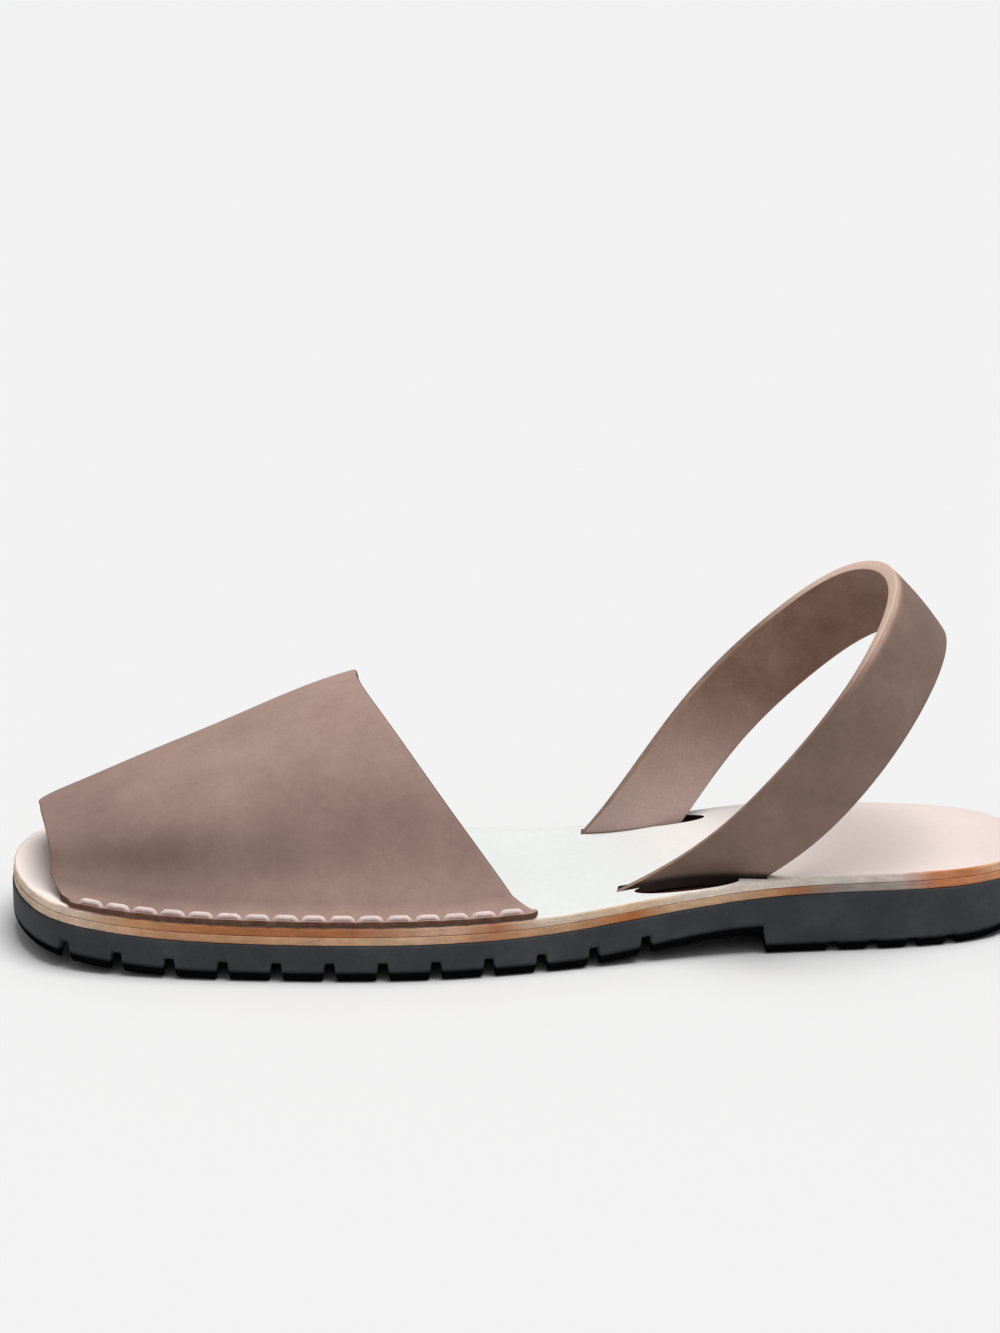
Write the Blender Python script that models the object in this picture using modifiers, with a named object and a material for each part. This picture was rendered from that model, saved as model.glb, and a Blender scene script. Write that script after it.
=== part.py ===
"""Avarca sandal, left foot: rubber outsole, leather midsole and insole, open vamp and heel strap.

The toe points to -X, the heel to +X, the lateral side to -Y and up is +Z. The sizes below are in
millimetres and the meshes are in metres. The origin is under the middle of the sole, on the floor.
"""
import math
from collections import namedtuple

import bmesh
import bpy
import numpy as np
from mathutils import Matrix

MM = 0.001

# Sole sizes
LENGTH = 257.0
MIDSOLE_THICK = 1.9
INSOLE_THICK = 1.9
JOINT_GAP = 0.3
MIDSOLE_INSET = 0.3
INSOLE_INSET = 0.5
OUTLINE_POINTS = 132
FINE_OUTLINE_POINTS = 12 * OUTLINE_POINTS
PROFILE_STEP = 4.0
PRISM_REACH = 60.0
WELD_DISTANCE = 0.001
SHARP_ANGLE = 35.0

# Underside of the outsole
HEEL_BREAST = 70.0
BREAST_LEAN = 0.8
ARCH_END = 122.0
ARCH_HEIGHT = 5.0
SPRING_START = 200.0
TOE_SPRING = 4.2
HEEL_LIFT_END = 22.0
HEEL_LIFT = 2.4
GROOVE_WIDTH = 3.2
GROOVE_TAPER = 0.5
GROOVE_CLEAR = 0.5

# Vamp sizes
VAMP_WALL = 2.0
FLANGE_WIDTH = 6.2
FLANGE_MARGIN = 0.9
FLANGE_FILLET = 4.6
FLANGE_LEAN = math.radians(30.0)
CREST_REAR = 170.0
REAR_DROP = {"lateral": 31.6, "medial": 20.0}
REAR_SWEEP = {"lateral": 6.5, "medial": -8.0}
REAR_HOLLOW = {"lateral": 1.2, "medial": 0.0}
REAR_CURVE = {"lateral": 1.0, "medial": 2.0}
REAR_TAIL = 6.0
TAIL_ROUNDING = 2.2
FRONT_TIP = 250.4
FRONT_TIP_SPREAD = 0.3
FRONT_SWEEP = 4.0
FRONT_ROUNDING = 0.12
FRONT_TAIL = 5.2
CREST_ROUNDING = 0.15
WALL_SHARE = 0.80
FILLET_SHARE = 0.88
VAMP_CELLS_ALONG = 18
VAMP_CELLS_AROUND = 50

# Factors that bring the peaks of the flare and hollow curves to 1
FLARE_PEAK = 256 / 27
HOLLOW_PEAK = 27 / 4

# Heel strap sizes
STRAP_FRONT = 9.3
STRAP_BACK = 10.0
STRAP_THICK = 3.0
STRAP_STEP = 0.05
STRAP_CELLS_ALONG = 56
STRAP_CELLS_ACROSS = 6
SLOT_GAP = 0.5
SLOT_POINTS = 24

OutlineRow = namedtuple("OutlineRow", "along lateral medial")
TopRow = namedtuple("TopRow", "along height")
VampRow = namedtuple("VampRow", "along height crest fullness flare")
StrapRow = namedtuple("StrapRow", "along across height tilt flare crown")
SlotRow = namedtuple("SlotRow", "side along across half_length half_width")
GrooveRow = namedtuple("GrooveRow", "first pitch count depth")
Finish = namedtuple("Finish", "colour roughness")

FINISHES = {
    "outsole": Finish((0.045, 0.047, 0.048), 0.75),
    "midsole": Finish((0.36, 0.17, 0.075), 0.7),
    "insole": Finish((0.86, 0.76, 0.70), 0.6),
    "vamp": Finish((0.29, 0.20, 0.17), 0.85),
    "heel_strap": Finish((0.27, 0.19, 0.16), 0.8),
}

# Half widths of the sole on each side of its axis, by distance from the heel
OUTLINE = [
    OutlineRow(5.0, 15.8, 15.8),
    OutlineRow(12.0, 22.4, 22.4),
    OutlineRow(22.0, 26.4, 26.4),
    OutlineRow(40.0, 29.4, 29.0),
    OutlineRow(66.0, 31.2, 30.4),
    OutlineRow(96.0, 35.6, 27.6),
    OutlineRow(122.0, 41.6, 27.4),
    OutlineRow(149.0, 46.4, 32.6),
    OutlineRow(172.0, 47.0, 40.6),
    OutlineRow(196.0, 45.2, 44.6),
    OutlineRow(218.0, 42.2, 43.6),
    OutlineRow(236.0, 37.4, 38.0),
    OutlineRow(248.5, 28.8, 28.4),
]

# Top of the rubber, by distance from the heel
RUBBER_TOP = [
    TopRow(0.0, 15.2),
    TopRow(24.0, 15.2),
    TopRow(68.0, 14.8),
    TopRow(96.0, 12.2),
    TopRow(122.0, 9.8),
    TopRow(154.0, 9.3),
    TopRow(194.0, 9.5),
    TopRow(219.0, 10.2),
    TopRow(239.0, 11.6),
    TopRow(257.0, 13.6),
]

# Tread grooves of the heel and of the forefoot, by distance from the heel
GROOVES = [
    GrooveRow(22.5, 10.0, 4, 1.8),
    GrooveRow(99.5, 13.0, 12, 4.4),
]

# Cross sections of the vamp: outer crest height over the insole, crest offset, fullness of the arch, and
# how far the wall sinks in over its flared foot
VAMP = [
    VampRow(122.0, 50.0, 6.0, 2.1, 4.0),
    VampRow(148.0, 52.6, 6.0, 2.1, 4.0),
    VampRow(173.0, 48.6, 6.0, 2.1, 3.8),
    VampRow(204.0, 35.2, 4.0, 2.25, 3.2),
    VampRow(226.0, 24.8, 2.0, 2.4, 2.3),
    VampRow(240.0, 17.8, 1.5, 2.5, 1.6),
    VampRow(254.0, 11.4, 1.0, 2.6, 1.0),
]

# Middle line of the strap from its lateral end round the heel to its medial end, with the lean of its
# width in degrees, the extra width of its front edge and the bulge of its outer face
STRAP = [
    StrapRow(112.0, -31.0, -6.0, 36.0, 9.4, 0.0),
    StrapRow(86.8, -23.4, 17.6, 36.0, -2.8, 0.0),
    StrapRow(66.4, -32.0, 36.0, 36.0, -0.6, 0.6),
    StrapRow(49.6, -33.8, 55.2, 36.0, 0.6, 0.6),
    StrapRow(38.0, -25.6, 70.4, 38.0, 0.2, 0.6),
    StrapRow(30.4, 0.0, 81.0, 40.5, 0.0, 0.6),
    StrapRow(40.4, 22.6, 76.8, 35.0, -0.6, 0.6),
    StrapRow(57.3, 31.8, 62.4, 35.5, -0.6, 0.6),
    StrapRow(78.3, 31.0, 41.4, 36.0, -0.5, 0.6),
    StrapRow(99.4, 20.0, 16.0, 36.0, 0.0, 0.0),
    StrapRow(116.0, 28.0, -6.0, 36.0, 0.0, 0.0),
]

# Mouths of the insole's slots, which gape on the outer side of the strap
SLOTS = [
    SlotRow("lateral", 89.0, -28.2, 13.0, 4.2),
    SlotRow("medial", 93.0, 22.4, 13.0, 3.6),
]


def spline(knots, values, closed=False):
    """Cubic spline through the values, with even curvature; natural at the ends or closed."""
    knots = np.asarray(knots, float)
    values = np.asarray(values, float)
    gaps = np.diff(knots)
    rates = np.diff(values) / gaps
    last = len(knots) - 1
    size = last if closed else last + 1
    matrix = np.zeros((size, size))
    right = np.zeros(size)
    for row in range(size):
        if closed or 0 < row < last:
            before, after = gaps[row - 1], gaps[row]
            matrix[row, (row - 1) % size] += after
            matrix[row, row] += 2 * (before + after)
            matrix[row, (row + 1) % size] += before
            right[row] = 3 * (after * rates[row - 1] + before * rates[row])
        else:
            matrix[row, row] = 2
            matrix[row, 1 if row == 0 else last - 1] = 1
            right[row] = 3 * rates[min(row, last - 1)]
    slopes = np.linalg.solve(matrix, right)
    if closed:
        slopes = np.append(slopes, slopes[0])

    def at(place):
        place = np.asarray(place, float)
        cell = np.clip(np.searchsorted(knots, place, side="right") - 1, 0, last - 1)
        gap = gaps[cell]
        share = (place - knots[cell]) / gap
        rest = 1 - share
        start = (1 + 2 * share) * rest ** 2 * values[cell] + share * rest ** 2 * gap * slopes[cell]
        end = (3 - 2 * share) * share ** 2 * values[cell + 1] - rest * share ** 2 * gap * slopes[cell + 1]
        return start + end

    return at


def chord_knots(points):
    """Spline knots spaced by the square root of the distance between the points."""
    steps = np.sqrt(np.linalg.norm(np.diff(points, axis=0), axis=1))
    return np.concatenate([[0.0], np.cumsum(steps)])


def sole_outline(inset, count):
    """Closed outline of the sole as rows of along and across, moved inwards by the inset."""
    lateral = [(row.along, -row.lateral) for row in OUTLINE]
    medial = [(row.along, row.medial) for row in reversed(OUTLINE)]
    points = np.array([(0.0, 0.0)] + lateral + [(LENGTH, 0.0)] + medial + [(0.0, 0.0)])
    knots = chord_knots(points)
    places = np.linspace(0.0, knots[-1], count, endpoint=False)
    line = np.stack([spline(knots, points[:, axis], closed=True)(places) for axis in (0, 1)], axis=1)
    tangent = np.roll(line, -1, axis=0) - np.roll(line, 1, axis=0)
    tangent /= np.linalg.norm(tangent, axis=1)[:, None]
    inward = np.stack([-tangent[:, 1], tangent[:, 0]], axis=1)
    return line + inset * inward


EDGE = sole_outline(0.0, OUTLINE_POINTS)
ALONG_MIDDLE, ACROSS_MIDDLE = (EDGE.min(axis=0) + EDGE.max(axis=0)) / 2
FINE_EDGE = sole_outline(0.0, FINE_OUTLINE_POINTS)
rubber_top = spline([row.along for row in RUBBER_TOP], [row.height for row in RUBBER_TOP])


def place(along, across, height):
    """A point of the sandal, from millimetres along, across and up, in metres."""
    return ((ALONG_MIDDLE - along) * MM, (across - ACROSS_MIDDLE) * MM, height * MM)


def half_width(along, side):
    """Half width of the sole on one side of its axis."""
    sign = -1 if side == "lateral" else 1
    rows = FINE_EDGE[FINE_EDGE[:, 1] * sign >= 0]
    rows = rows[np.argsort(rows[:, 0])]
    return float(np.interp(along, rows[:, 0], np.abs(rows[:, 1])))


def midsole_top(along):
    return rubber_top(along) + JOINT_GAP + MIDSOLE_THICK


def insole_top(along):
    return midsole_top(along) + JOINT_GAP + INSOLE_THICK


def ground(along):
    """Height of the outsole's underside, between its grooves."""
    if along < HEEL_LIFT_END:
        return HEEL_LIFT * (1 - along / HEEL_LIFT_END) ** 2
    if HEEL_BREAST <= along < ARCH_END:
        share = (along - HEEL_BREAST) / (ARCH_END - HEEL_BREAST)
        return ARCH_HEIGHT * (1 + math.cos(math.pi * share)) / 2
    if along > SPRING_START:
        return TOE_SPRING * ((along - SPRING_START) / (LENGTH - SPRING_START)) ** 2
    return 0.0


def underside():
    """Side profile of the outsole's underside from heel to toe, with its breast and grooves."""
    grooves = [(row.first + step * row.pitch, row.depth) for row in GROOVES for step in range(row.count)]
    stops = np.linspace(-PROFILE_STEP, LENGTH + PROFILE_STEP, round(LENGTH / PROFILE_STEP) + 3)
    clear = GROOVE_WIDTH / 2 + GROOVE_CLEAR
    points = []
    for stop in stops:
        near_groove = any(abs(stop - groove) < clear for groove, depth in grooves)
        near_breast = abs(stop - HEEL_BREAST) < clear
        if not near_groove and not near_breast:
            points.append((stop, ground(stop)))
    half = GROOVE_WIDTH / 2
    for groove, depth in grooves:
        points.append((groove - half, ground(groove - half)))
        points.append((groove - half + GROOVE_TAPER, ground(groove) + depth))
        points.append((groove + half - GROOVE_TAPER, ground(groove) + depth))
        points.append((groove + half, ground(groove + half)))
    points.append((HEEL_BREAST - BREAST_LEAN, 0.0))
    points.append((HEEL_BREAST, ground(HEEL_BREAST)))
    return sorted(points)


def layer_line(height_at):
    """Side profile of a smooth layer surface from heel to toe."""
    stops = np.linspace(-PROFILE_STEP, LENGTH + PROFILE_STEP, round(LENGTH / PROFILE_STEP) + 3)
    return [(stop, float(height_at(stop))) for stop in stops]


def collection(name):
    made = bpy.data.collections.new(name)
    bpy.context.scene.collection.children.link(made)
    return made


def prism(name, outline, half_depth, matrix, home):
    """A flat outline filled, extruded both ways and turned into a closed mesh."""
    curve = bpy.data.curves.new(name, "CURVE")
    curve.dimensions = "2D"
    curve.fill_mode = "BOTH"
    curve.extrude = half_depth
    line = curve.splines.new("POLY")
    line.points.add(len(outline) - 1)
    for point, (x, y) in zip(line.points, outline):
        point.co = (x, y, 0.0, 1.0)
    line.use_cyclic_u = True
    drawn = bpy.data.objects.new(name + "_line", curve)
    drawn.matrix_world = matrix
    home.objects.link(drawn)
    bpy.context.view_layer.update()
    view = bpy.context.evaluated_depsgraph_get()
    mesh = bpy.data.meshes.new_from_object(drawn.evaluated_get(view))
    mesh.name = name
    mesh.transform(drawn.matrix_world)
    bpy.data.objects.remove(drawn)
    shape = bmesh.new()
    shape.from_mesh(mesh)
    bmesh.ops.remove_doubles(shape, verts=shape.verts, dist=WELD_DISTANCE * MM)
    bmesh.ops.recalc_face_normals(shape, faces=shape.faces)
    shape.to_mesh(mesh)
    shape.free()
    solid = bpy.data.objects.new(name, mesh)
    home.objects.link(solid)
    return solid


def as_cutter(solid):
    solid.hide_render = True
    solid.display_type = "WIRE"
    return solid


def cut(solid, cutter, operation):
    step = solid.modifiers.new(operation.title() + "_" + cutter.name, "BOOLEAN")
    step.operation = operation
    step.solver = "EXACT"
    step.object = cutter


def outline_cutter(name, inset, home):
    """A tall block with the sole's outline, to trim a layer to shape."""
    outline = [place(along, across, 0.0)[:2] for along, across in sole_outline(inset, OUTLINE_POINTS)]
    return as_cutter(prism(name, outline, PRISM_REACH * MM, Matrix.Identity(4), home))


def slot_cutter(row, home):
    """An upright oval block for the mouth of a strap slot."""
    outline = []
    for step in range(SLOT_POINTS):
        turn = 2 * math.pi * step / SLOT_POINTS
        along = row.along + row.half_length * math.cos(turn)
        across = row.across + row.half_width * math.sin(turn)
        outline.append(place(along, across, 0.0)[:2])
    return as_cutter(prism(row.side + "_slot_mouth", outline, PRISM_REACH * MM, Matrix.Identity(4), home))


def layer(name, lower, upper, home):
    """A layer between two side profiles, wider than the sole."""
    outline = [place(along, 0.0, height)[::2] for along, height in lower + upper[::-1]]
    upright = Matrix.Rotation(math.pi / 2, 4, "X")
    return prism(name, outline, PRISM_REACH * MM, upright, home)


def grid(name, cells_u, cells_v, at, home):
    """An open surface from a flat grid whose corners run over 0 to 1 in u and v."""
    shape = bmesh.new()
    bmesh.ops.create_grid(shape, x_segments=cells_u, y_segments=cells_v, size=0.5)
    for vert in shape.verts:
        vert.co = place(*at(vert.co.x + 0.5, vert.co.y + 0.5))
    mesh = bpy.data.meshes.new(name)
    shape.to_mesh(mesh)
    shape.free()
    sheet = bpy.data.objects.new(name, mesh)
    home.objects.link(sheet)
    return sheet


def thicken(sheet, thickness, offset):
    step = sheet.modifiers.new("Solidify", "SOLIDIFY")
    step.thickness = thickness * MM
    step.offset = offset
    step.use_even_offset = True
    step.use_rim = True


def finish(solid):
    """Gives a piece its material and smooth shading."""
    colour, roughness = FINISHES[solid.name]
    material = bpy.data.materials.new(solid.name + "_material")
    material.use_nodes = True
    shader = material.node_tree.nodes["Principled BSDF"]
    shader.inputs["Base Color"].default_value = (*colour, 1.0)
    shader.inputs["Roughness"].default_value = roughness
    shader.inputs["Metallic"].default_value = 0.0
    solid.data.materials.clear()
    solid.data.materials.append(material)
    solid.data.shade_smooth()
    solid.data.set_sharp_from_angle(angle=math.radians(SHARP_ANGLE))


VAMP_ALONG = [row.along for row in VAMP]
vamp_height = spline(VAMP_ALONG, [row.height for row in VAMP])
vamp_crest = spline(VAMP_ALONG, [row.crest for row in VAMP])
vamp_fullness = spline(VAMP_ALONG, [row.fullness for row in VAMP])
vamp_flare = spline(VAMP_ALONG, [row.flare for row in VAMP])


def vamp_point(length_share, around_share):
    """Outer surface of the vamp: from the toe edge to the rear edge, and from flange to flange."""
    turn = 2 * around_share - 1
    side = "lateral" if turn < 0 else "medial"
    sign = -1 if turn < 0 else 1
    reach = abs(turn)
    angle = math.pi / 2 * (1 - min(reach / WALL_SHARE, 1))
    rise = math.sin(angle)
    spread = math.cos(angle)
    curl = np.clip((reach - WALL_SHARE) / (FILLET_SHARE - WALL_SHARE), 0, 1)
    bend = FLANGE_LEAN + (math.pi / 2 - FLANGE_LEAN) * curl
    out = np.clip((reach - FILLET_SHARE) / (1 - FILLET_SHARE), 0, 1)
    turned = np.clip((reach - WALL_SHARE) / (1 - WALL_SHARE), 0, 1)
    sweep = math.hypot(spread, CREST_ROUNDING) - CREST_ROUNDING
    rear = CREST_REAR - REAR_DROP[side] * (1 - rise) ** REAR_CURVE[side] - REAR_SWEEP[side] * sweep
    rear += REAR_HOLLOW[side] * HOLLOW_PEAK * rise * (1 - rise) ** 2
    rear -= REAR_TAIL * math.sin(TAIL_ROUNDING * turned)
    front_sweep = math.hypot(sign * spread - FRONT_TIP_SPREAD, FRONT_ROUNDING) - FRONT_ROUNDING
    front = FRONT_TIP - FRONT_SWEEP * front_sweep
    front -= FRONT_TAIL * math.sin(math.pi / 2 * turned)
    along = front + length_share * (rear - front)
    foot = half_width(along, side) - FLANGE_MARGIN - FLANGE_WIDTH
    power = 2 / float(vamp_fullness(along))
    crest = sign * float(vamp_crest(along))
    wall_foot = VAMP_WALL + JOINT_GAP + FLANGE_FILLET * (1 - math.sin(FLANGE_LEAN))
    fillet_width = FLANGE_FILLET * math.cos(FLANGE_LEAN)
    across = crest + (foot - crest) * spread ** power
    across -= float(vamp_flare(along)) * FLARE_PEAK * rise * (1 - rise) ** 3
    across += fillet_width - FLANGE_FILLET * math.cos(bend) + (FLANGE_WIDTH - fillet_width) * out
    height = wall_foot + (float(vamp_height(along)) - wall_foot) * rise ** power
    height -= FLANGE_FILLET * (math.sin(bend) - math.sin(FLANGE_LEAN))
    return along, sign * across, float(insole_top(along)) + height


STRAP_POINTS = np.array(STRAP)
STRAP_KNOTS = chord_knots(STRAP_POINTS[:, :3])
strap_line = [spline(STRAP_KNOTS, STRAP_POINTS[:, column]) for column in range(6)]


def strap_point(length_share, width_share, margin=0.0):
    """Middle surface of the strap: from the lateral to the medial end, and from front to back edge."""
    knot = length_share * STRAP_KNOTS[-1]
    along, across, height, tilt, flare, crown = [float(column(knot)) for column in strap_line]
    ahead = [column(knot + STRAP_STEP) - column(knot - STRAP_STEP) for column in strap_line[:3]]
    lean = math.radians(tilt)
    backward = np.array([-math.sin(lean), 0.0, -math.cos(lean)])
    outward = np.cross(ahead, backward)
    outward /= np.linalg.norm(outward)
    front = STRAP_FRONT + flare + margin
    back = STRAP_BACK + margin
    shift = -front + width_share * (front + back)
    bulge = crown * (1 - (2 * width_share - 1) ** 2)
    return np.array([along, across, height]) + shift * backward + bulge * outward


def slot_point(length_share, width_share):
    return strap_point(length_share, width_share, margin=SLOT_GAP)


def make_outsole(parts, cutters):
    solid = layer("outsole", underside(), layer_line(rubber_top), parts)
    cut(solid, outline_cutter("outsole_outline", 0.0, cutters), "INTERSECT")
    finish(solid)


def make_midsole(parts, cutters):
    lower = layer_line(lambda along: rubber_top(along) + JOINT_GAP)
    solid = layer("midsole", lower, layer_line(midsole_top), parts)
    cut(solid, outline_cutter("midsole_outline", MIDSOLE_INSET, cutters), "INTERSECT")
    finish(solid)


def make_insole(parts, cutters):
    lower = layer_line(lambda along: midsole_top(along) + JOINT_GAP)
    solid = layer("insole", lower, layer_line(insole_top), parts)
    cut(solid, outline_cutter("insole_outline", INSOLE_INSET, cutters), "INTERSECT")
    for row in SLOTS:
        cut(solid, slot_cutter(row, cutters), "DIFFERENCE")
    slot = grid("strap_slots", STRAP_CELLS_ALONG, STRAP_CELLS_ACROSS, slot_point, cutters)
    thicken(slot, STRAP_THICK + 2 * SLOT_GAP, 0.0)
    cut(solid, as_cutter(slot), "DIFFERENCE")
    finish(solid)


def make_vamp(parts):
    solid = grid("vamp", VAMP_CELLS_ALONG, VAMP_CELLS_AROUND, vamp_point, parts)
    thicken(solid, VAMP_WALL, -1.0)
    finish(solid)


def make_heel_strap(parts, cutters):
    solid = grid("heel_strap", STRAP_CELLS_ALONG, STRAP_CELLS_ACROSS, strap_point, parts)
    thicken(solid, STRAP_THICK, 0.0)
    floor = [(along, -PRISM_REACH) for along, height in layer_line(midsole_top)]
    buried = layer_line(lambda along: midsole_top(along) + JOINT_GAP)
    cut(solid, as_cutter(layer("strap_floor", floor, buried, cutters)), "DIFFERENCE")
    finish(solid)


def main():
    for old in list(bpy.data.objects):
        bpy.data.objects.remove(old)
    parts = collection("avarca_sandal")
    cutters = collection("cutters")
    make_outsole(parts, cutters)
    make_midsole(parts, cutters)
    make_insole(parts, cutters)
    make_vamp(parts)
    make_heel_strap(parts, cutters)


main()
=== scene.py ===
"""Looks of the avarca sandal: rubber, leather, nubuck and thread, with the studio and the camera.

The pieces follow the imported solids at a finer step. Sizes are in millimetres along the sole from the
heel, across it from its axis and up from the floor, and place() turns them into the frame's metres.
"""
import math
from collections import namedtuple

import bmesh
import bpy
import numpy as np
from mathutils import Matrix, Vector, noise


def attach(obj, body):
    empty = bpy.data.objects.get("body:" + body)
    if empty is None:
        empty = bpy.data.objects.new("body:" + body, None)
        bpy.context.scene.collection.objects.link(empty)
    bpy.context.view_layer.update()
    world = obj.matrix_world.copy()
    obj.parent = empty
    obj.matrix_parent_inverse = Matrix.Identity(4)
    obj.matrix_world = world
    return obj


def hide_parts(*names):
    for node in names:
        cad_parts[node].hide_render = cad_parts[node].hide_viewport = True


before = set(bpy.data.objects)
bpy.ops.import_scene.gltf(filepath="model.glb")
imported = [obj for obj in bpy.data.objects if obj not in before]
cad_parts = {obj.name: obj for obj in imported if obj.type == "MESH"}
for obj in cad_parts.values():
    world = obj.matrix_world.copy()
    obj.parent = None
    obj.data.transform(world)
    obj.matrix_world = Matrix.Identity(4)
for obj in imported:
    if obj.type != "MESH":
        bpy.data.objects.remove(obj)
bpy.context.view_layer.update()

MM = 0.001

# Sole sizes, as in the solids
LENGTH = 257.0
MIDSOLE_THICK = 1.9
INSOLE_THICK = 1.9
JOINT_GAP = 0.3
MIDSOLE_INSET = 0.3
INSOLE_INSET = 0.5
OUTLINE_POINTS = 132
FINE_OUTLINE_POINTS = 40 * OUTLINE_POINTS
HEEL_BREAST = 70.0
BREAST_LEAN = 0.8
ARCH_END = 122.0
ARCH_HEIGHT = 5.0
SPRING_START = 200.0
TOE_SPRING = 4.2
HEEL_LIFT_END = 22.0
HEEL_LIFT = 2.4
GROOVE_HALF = 1.6

# Vamp sizes, as in the solids
VAMP_WALL = 2.0
FLANGE_WIDTH = 6.2
FLANGE_MARGIN = 0.9
FLANGE_FILLET = 4.6
FLANGE_LEAN = math.radians(30.0)
CREST_REAR = 170.0
REAR_DROP = {"lateral": 31.6, "medial": 20.0}
REAR_SWEEP = {"lateral": 6.5, "medial": -8.0}
REAR_HOLLOW = {"lateral": 1.2, "medial": 0.0}
REAR_CURVE = {"lateral": 1.0, "medial": 2.0}
REAR_TAIL = 6.0
TAIL_ROUNDING = 2.2
FRONT_TIP = 250.4
FRONT_TIP_SPREAD = 0.3
FRONT_SWEEP = 4.0
FRONT_ROUNDING = 0.12
FRONT_TAIL = 5.2
CREST_ROUNDING = 0.15
FLARE_PEAK = 256 / 27
HOLLOW_PEAK = 27 / 4
WALL_SHARE = 0.80
FILLET_SHARE = 0.88

# Strap sizes, as in the solids
STRAP_FRONT = 9.3
STRAP_BACK = 10.0
STRAP_THICK = 3.0
STRAP_STEP = 0.05
SLOT_GAP = 0.5

# Steps of the finer meshes
SOLE_ROWS = 220
SOLE_CELLS_ACROSS = 18
SOLE_WALL_CELLS = 6
EDGE_CELLS = 4
STOP_CLEAR = 0.3
VAMP_CELLS_ALONG = 120
STRAP_CELLS_ALONG = 260
STRAP_CELLS_ACROSS = 22
STRAP_TRIALS = 600
SLOT_CELLS_ACROSS = 3
SLOT_CORNERS = 64
SLOT_CUT_DEPTH = 100.0
RIM_CELLS = 6
STITCH_TRIALS = 600
STITCH_CELLS = 18
THREAD_CORNERS = 15
WELD_DISTANCE = 0.0005
TINY = 1e-12

# Edges and relief that the solids leave out
BREAST_REACH = 1.0
RUBBER_FOOT_ROUNDING = 2.0
# Heights over the ground between which the painted shade of the rubber's foot fades
RUBBER_FOOT_SHADE_RISE = (2.3, 3.3)
RUBBER_TOP_ROUNDING = 0.5
LEATHER_EDGE_ROUNDING = 0.45
LEATHER_JOINT_ROUNDING = 0.12
SHOWN_JOINT_GAP = 0.04
FIBRE_RELIEF = 0.14
FIBRE_SIZE = 1.6
FIBRE_FLATNESS = 2
CUT_EDGE_BULGE = 0.3
RIM_ROUNDNESS = 0.6
STRAP_FOOT_CLEAR = 0.5
FLANGE_PRESS = 0.6
FLANGE_THINNING = 1.2
STITCH_OUT = 0.42
STITCH_PITCH = 6.9
STITCH_LENGTH = 5.2
STITCH_MARGIN = 2.6
THREAD_RADIUS = 0.72
THREAD_LIFT = 0.25
THREAD_DIVE = 1.0
THREAD_FLATNESS = 7
THREAD_PLIES = 3
THREAD_TWIST = 2.6
PLY_RELIEF = 0.10
NEEDLE_DENT = 0.35
NEEDLE_REACH = 1.3
SHARP_ANGLE = 40.0

OutlineRow = namedtuple("OutlineRow", "along lateral medial")
TopRow = namedtuple("TopRow", "along height")
VampRow = namedtuple("VampRow", "along height crest fullness flare")
StrapRow = namedtuple("StrapRow", "along across height tilt flare crown")
SlotRow = namedtuple("SlotRow", "side along across half_length half_width")
AroundRow = namedtuple("AroundRow", "start end cells")
GrooveRow = namedtuple("GrooveRow", "first pitch count depth")
SectionRow = namedtuple("SectionRow", "width_share depth_share")
CornerRow = namedtuple("CornerRow", "along height")
CreaseRow = namedtuple("CreaseRow", "side along height end_along end_height width depth")
PaintedShadeRow = namedtuple("PaintedShadeRow", "along height along_reach height_reach tone")

OUTLINE = [
    OutlineRow(5.0, 15.8, 15.8),
    OutlineRow(12.0, 22.4, 22.4),
    OutlineRow(22.0, 26.4, 26.4),
    OutlineRow(40.0, 29.4, 29.0),
    OutlineRow(66.0, 31.2, 30.4),
    OutlineRow(96.0, 35.6, 27.6),
    OutlineRow(122.0, 41.6, 27.4),
    OutlineRow(149.0, 46.4, 32.6),
    OutlineRow(172.0, 47.0, 40.6),
    OutlineRow(196.0, 45.2, 44.6),
    OutlineRow(218.0, 42.2, 43.6),
    OutlineRow(236.0, 37.4, 38.0),
    OutlineRow(248.5, 28.8, 28.4),
]

RUBBER_TOP = [
    TopRow(0.0, 15.2),
    TopRow(24.0, 15.2),
    TopRow(68.0, 14.8),
    TopRow(96.0, 12.2),
    TopRow(122.0, 9.8),
    TopRow(154.0, 9.3),
    TopRow(194.0, 9.5),
    TopRow(219.0, 10.2),
    TopRow(239.0, 11.6),
    TopRow(257.0, 13.6),
]

VAMP = [
    VampRow(122.0, 50.0, 6.0, 2.1, 4.0),
    VampRow(148.0, 52.6, 6.0, 2.1, 4.0),
    VampRow(173.0, 48.6, 6.0, 2.1, 3.8),
    VampRow(204.0, 35.2, 4.0, 2.25, 3.2),
    VampRow(226.0, 24.8, 2.0, 2.4, 2.3),
    VampRow(240.0, 17.8, 1.5, 2.5, 1.6),
    VampRow(254.0, 11.4, 1.0, 2.6, 1.0),
]

STRAP = [
    StrapRow(112.0, -31.0, -6.0, 36.0, 9.4, 0.0),
    StrapRow(86.8, -23.4, 17.6, 36.0, -2.8, 0.0),
    StrapRow(66.4, -32.0, 36.0, 36.0, -0.6, 0.6),
    StrapRow(49.6, -33.8, 55.2, 36.0, 0.6, 0.6),
    StrapRow(38.0, -25.6, 70.4, 38.0, 0.2, 0.6),
    StrapRow(30.4, 0.0, 81.0, 40.5, 0.0, 0.6),
    StrapRow(40.4, 22.6, 76.8, 35.0, -0.6, 0.6),
    StrapRow(57.3, 31.8, 62.4, 35.5, -0.6, 0.6),
    StrapRow(78.3, 31.0, 41.4, 36.0, -0.5, 0.6),
    StrapRow(99.4, 20.0, 16.0, 36.0, 0.0, 0.0),
    StrapRow(116.0, 28.0, -6.0, 36.0, 0.0, 0.0),
]

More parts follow.
